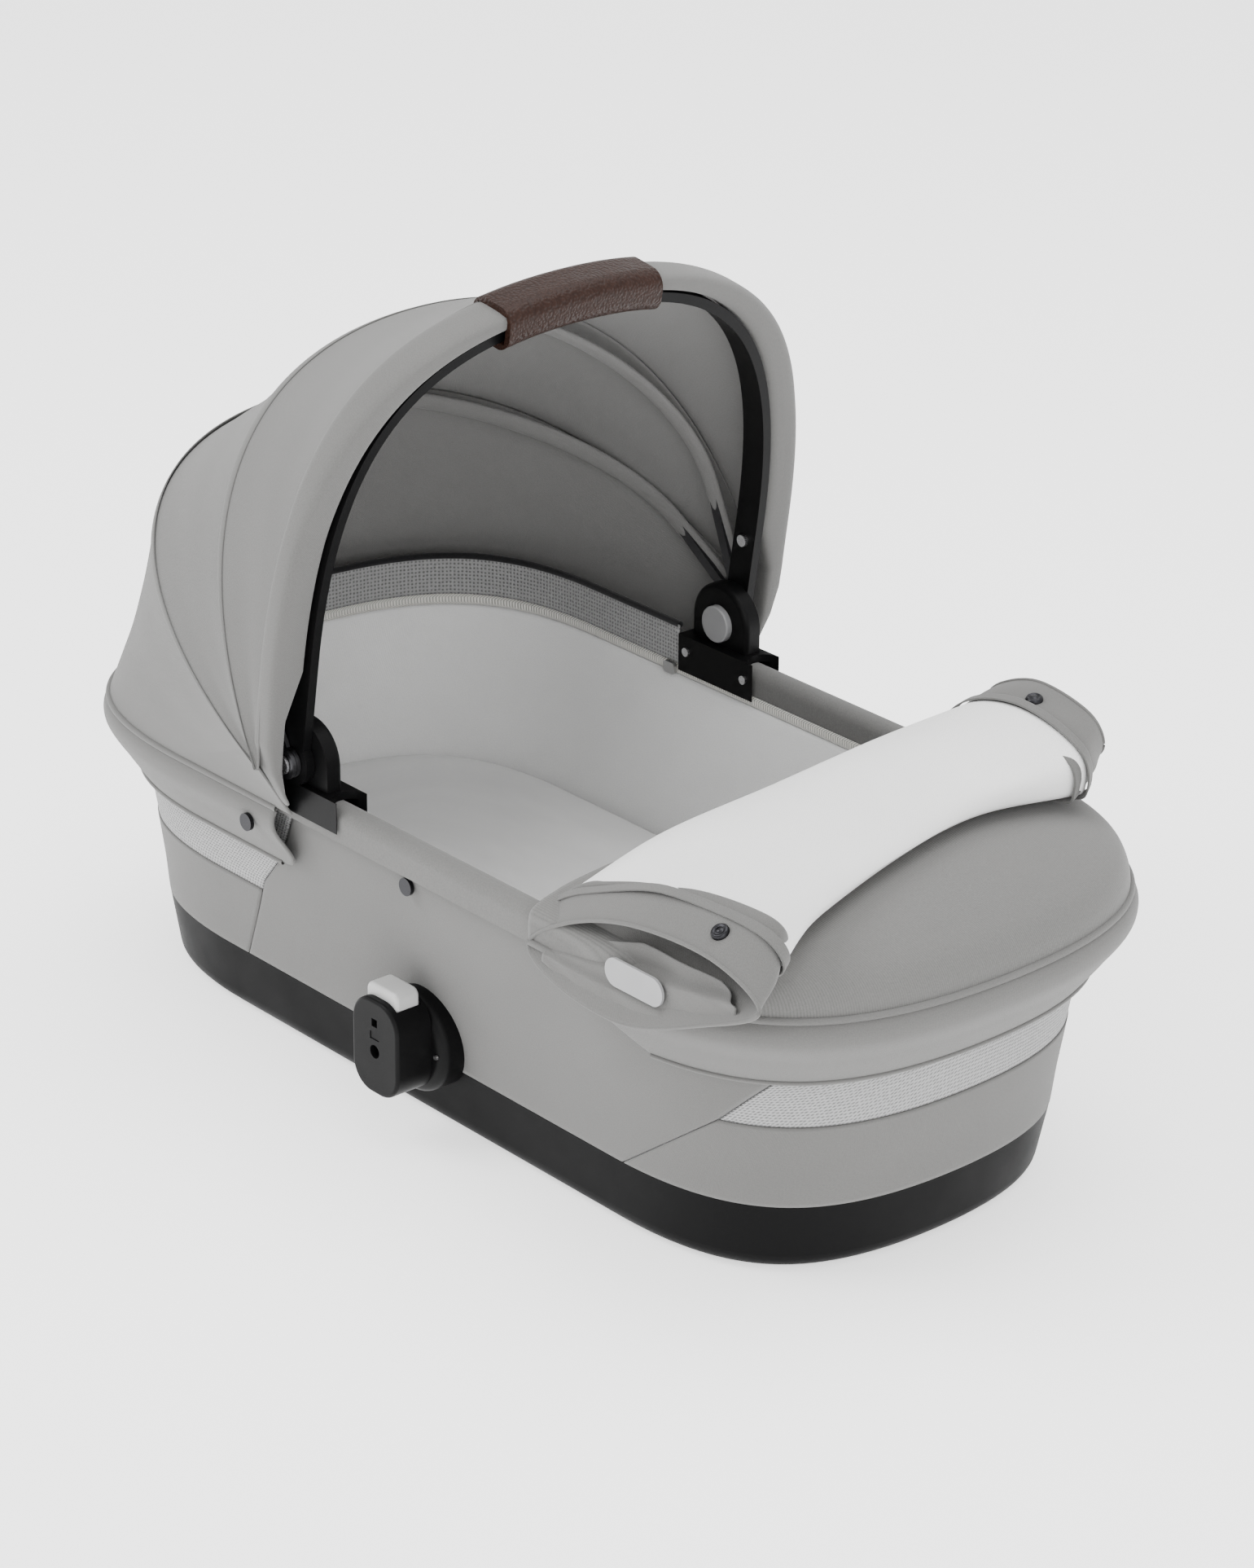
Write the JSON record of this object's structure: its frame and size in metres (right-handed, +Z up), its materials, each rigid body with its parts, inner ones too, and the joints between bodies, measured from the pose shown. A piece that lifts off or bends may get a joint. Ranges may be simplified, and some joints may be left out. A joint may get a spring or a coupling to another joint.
{
  "type": "carrycot with folding canopy",
  "caption": "Carrycot with a folding fabric canopy, carry grip, mattress, folded foot apron and side adapters for a pushchair frame.",
  "frame": {"origin": "on the floor under the middle of the cot's overall box", "axes": "+X towards the foot end, +Y to the cot's right seen from the foot end's back, +Z up"},
  "size_m": [0.832, 0.4774, 0.5773],
  "materials": {
    "black_plastic": "fine satin moulding",
    "shell_fabric": "light warm grey heathered canvas",
    "mesh_fabric": "light grey ventilation mesh",
    "lining_fabric": "mid grey canopy lining",
    "liner_fabric": "soft pale grey jersey",
    "flap_lining": "near white jersey",
    "rim_fabric": "grey fabric wrap",
    "board": "pale grey board",
    "leather": "pebbled dark brown leather",
    "grey_plastic": "satin grey moulding",
    "pale_plastic": "satin pale grey moulding",
    "steel": "bright steel",
    "snap_metal": "gunmetal",
    "zip_plastic": "off-white zip",
    "rib_steel": "black powder coat"
  },
  "bodies": {
    "cot": {"base_tub": "black_plastic", "floor_board": "board", "wall_board": "board", "rim_frame": "rim_fabric", "side_panel_left": "shell_fabric", "side_panel_right": "shell_fabric", "head_panel": "shell_fabric", "foot_panel": "shell_fabric", "head_mesh": "mesh_fabric", "foot_mesh": "mesh_fabric", "liner": "liner_fabric", "mattress": "liner_fabric", "zip_tape": "zip_plastic", "head_gusset": "mesh_fabric", "canopy_skirt": "shell_fabric", "apron_band": "shell_fabric", "apron_top": "shell_fabric", "rail_bracket_left": "black_plastic", "rail_bracket_right": "black_plastic", "hinge_housing_left": "black_plastic", "hinge_housing_right": "black_plastic", "pivot_pins": "steel", "adapter_base_left": "black_plastic", "adapter_base_right": "black_plastic", "adapter_plate_left": "black_plastic", "adapter_plate_right": "black_plastic", "adapter_screws": "steel", "side_snaps": "snap_metal", "skirt_snaps": "snap_metal", "bracket_screws": "steel"},
    "canopy_rear": {"rear_rib": "rib_steel", "canopy_panel_rear": "shell_fabric"},
    "canopy_middle": {"mid_rib": "rib_steel", "canopy_panel_middle": "shell_fabric"},
    "canopy_front": {"front_bow": "black_plastic", "front_sleeve": "shell_fabric", "grip": "leather", "bow_rivets": "steel", "canopy_panel_front": "shell_fabric"},
    "release_left": {"hinge_button_left": "grey_plastic"},
    "release_right": {"hinge_button_right": "grey_plastic"},
    "key_left": {"adapter_key_left": "pale_plastic"},
    "key_right": {"adapter_key_right": "pale_plastic"},
    "latch_left": {"adapter_latch_left": "black_plastic"},
    "latch_right": {"adapter_latch_right": "black_plastic"},
    "flap": {"apron_flap": "flap_lining", "flap_snaps": "snap_metal", "badge": "pale_plastic"},
    "slider": {"zip_slider": "zip_plastic"}
  },
  "joints": [
    {"name": "canopy_rear_fold", "type": "hinge", "parent": "cot", "child": "canopy_rear", "pos_m": [-0.086, 0, 0.256], "axis": [0, -1, 0], "range_deg": [0, 21.6], "deforming": ["canopy_panel_rear"]},
    {"name": "canopy_middle_fold", "type": "hinge", "parent": "canopy_rear", "child": "canopy_middle", "pos_m": [-0.086, 0, 0.256], "axis": [0, -1, 0], "range_deg": [0, 28.55], "deforming": ["canopy_panel_middle"]},
    {"name": "canopy_front_fold", "type": "hinge", "parent": "canopy_middle", "child": "canopy_front", "pos_m": [-0.086, 0, 0.256], "axis": [0, -1, 0], "range_deg": [0, 27.95], "deforming": ["canopy_panel_front"]},
    {"name": "release_left_press", "type": "slide", "parent": "cot", "child": "release_left", "axis": [0, -1, 0], "range_m": [0, 0.004], "stiffness_N_per_m": 400},
    {"name": "key_left_press", "type": "slide", "parent": "cot", "child": "key_left", "axis": [0, 0, -1], "range_m": [0, 0.003], "stiffness_N_per_m": 400},
    {"name": "latch_left_draw", "type": "slide", "parent": "cot", "child": "latch_left", "axis": [0, 1, 0], "range_m": [0, 0.003]},
    {"name": "release_right_press", "type": "slide", "parent": "cot", "child": "release_right", "axis": [0, 1, 0], "range_m": [0, 0.004], "stiffness_N_per_m": 400},
    {"name": "key_right_press", "type": "slide", "parent": "cot", "child": "key_right", "axis": [0, 0, -1], "range_m": [0, 0.003], "stiffness_N_per_m": 400},
    {"name": "latch_right_draw", "type": "slide", "parent": "cot", "child": "latch_right", "axis": [0, -1, 0], "range_m": [0, 0.003]},
    {"name": "flap_lift", "type": "hinge", "parent": "cot", "child": "flap", "pos_m": [0.168, 0, 0.24], "axis": [0, -1, 0], "range_deg": [0, 90]},
    {"name": "zip_slide", "type": "slide", "parent": "cot", "child": "slider", "axis": [-1, 0, 0], "range_m": [0, 0.08]}
  ],
  "couplings": [
    {"joint": "canopy_middle_fold", "follows": "canopy_rear_fold", "ratio": 1.3194},
    {"joint": "canopy_front_fold", "follows": "canopy_rear_fold", "ratio": 1.2917},
    {"joint": "latch_left_draw", "follows": "key_left_press", "ratio": 1},
    {"joint": "latch_right_draw", "follows": "key_right_press", "ratio": 1}
  ]
}
